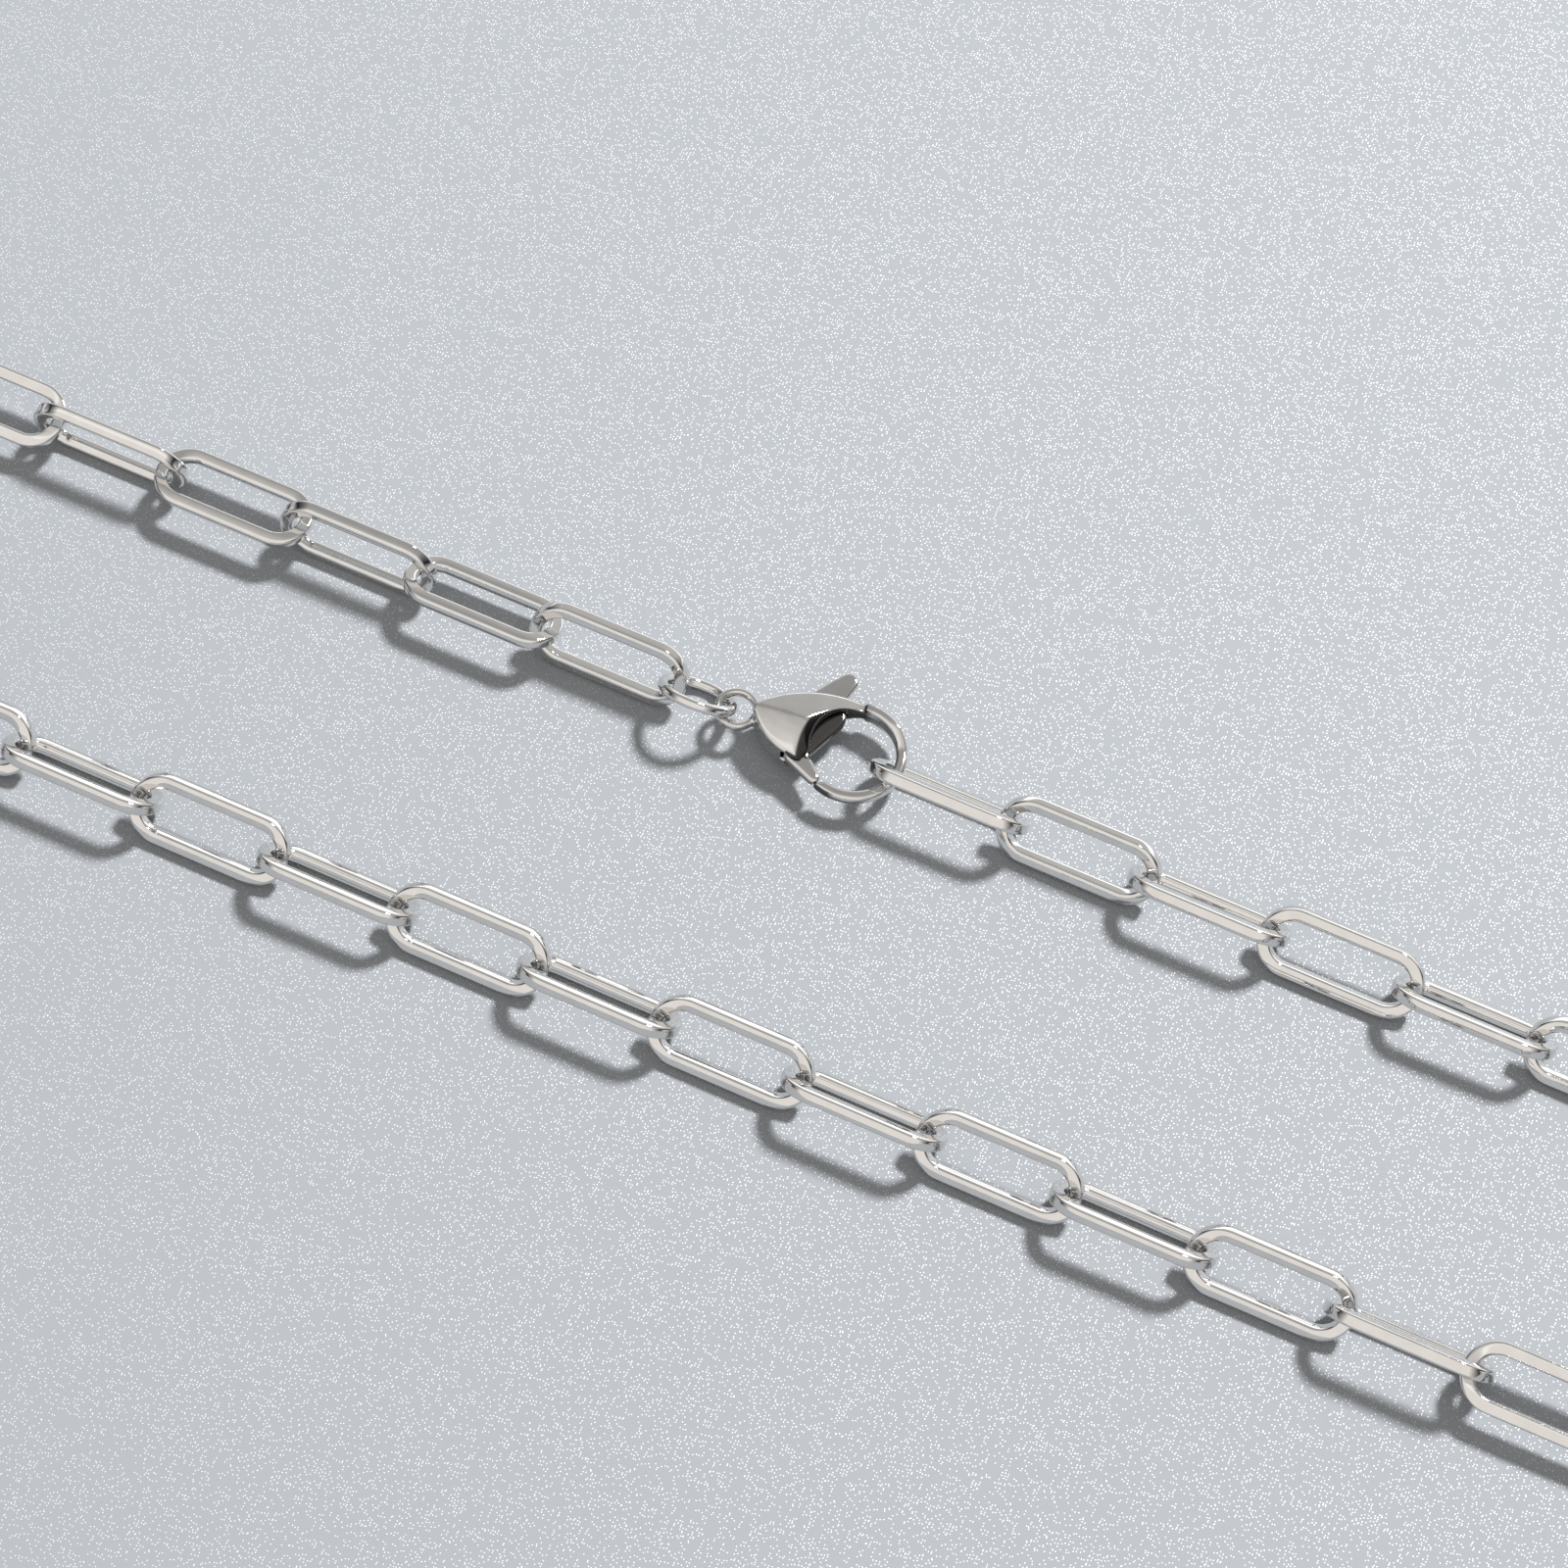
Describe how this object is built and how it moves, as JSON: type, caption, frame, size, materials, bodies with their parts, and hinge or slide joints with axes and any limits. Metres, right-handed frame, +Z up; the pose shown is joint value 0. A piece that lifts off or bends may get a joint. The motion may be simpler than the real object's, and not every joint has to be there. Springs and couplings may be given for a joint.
{
  "type": "paperclip chain necklace",
  "caption": "Steel chain necklace of long paperclip links with a lobster clasp and jump ring, lying as a flat closed loop.",
  "frame": {"origin": "on the surface that the necklace lies on, under the middle of the loop's plan outline", "axes": "+X along the two straight strands, from the clasp's eye to its hook; +Y across them, to the strand with the clasp; +Z up off the surface"},
  "size_m": [0.2122, 0.0332, 0.0052],
  "materials": {
    "link_steel": "bright polished stainless wire, nearly square in section",
    "clasp_steel": "bright polished cast stainless"
  },
  "bodies": {
    "necklace": {"link_01": "link_steel", "link_02": "link_steel", "link_03": "link_steel", "link_04": "link_steel", "link_05": "link_steel", "link_06": "link_steel", "link_07": "link_steel", "link_08": "link_steel", "link_09": "link_steel", "link_10": "link_steel", "link_11": "link_steel", "link_12": "link_steel", "link_13": "link_steel", "link_14": "link_steel", "link_15": "link_steel", "link_16": "link_steel", "link_17": "link_steel", "link_18": "link_steel", "link_19": "link_steel", "link_20": "link_steel", "link_21": "link_steel", "link_22": "link_steel", "link_23": "link_steel", "link_24": "link_steel", "link_25": "link_steel", "link_26": "link_steel", "link_27": "link_steel", "link_28": "link_steel", "link_29": "link_steel", "link_30": "link_steel", "link_31": "link_steel", "link_32": "link_steel", "link_33": "link_steel", "link_34": "link_steel", "link_35": "link_steel", "link_36": "link_steel", "link_37": "link_steel", "link_38": "link_steel", "link_39": "link_steel", "link_40": "link_steel", "link_41": "link_steel", "link_42": "link_steel", "link_43": "link_steel", "link_44": "link_steel", "jump_ring": "link_steel", "clasp_body": "clasp_steel", "clasp_pin": "clasp_steel"},
    "lever": {"clasp_lever": "clasp_steel"}
  },
  "joints": [
    {"name": "lever_hinge", "type": "hinge", "parent": "necklace", "child": "lever", "pos_m": [-0.00035, 0.01067, 0.00211], "axis": [0.0087, 0, 1], "range_deg": [0, 28], "stiffness_Nm_per_rad": 0.01, "springref_deg": -20.05}
  ]
}
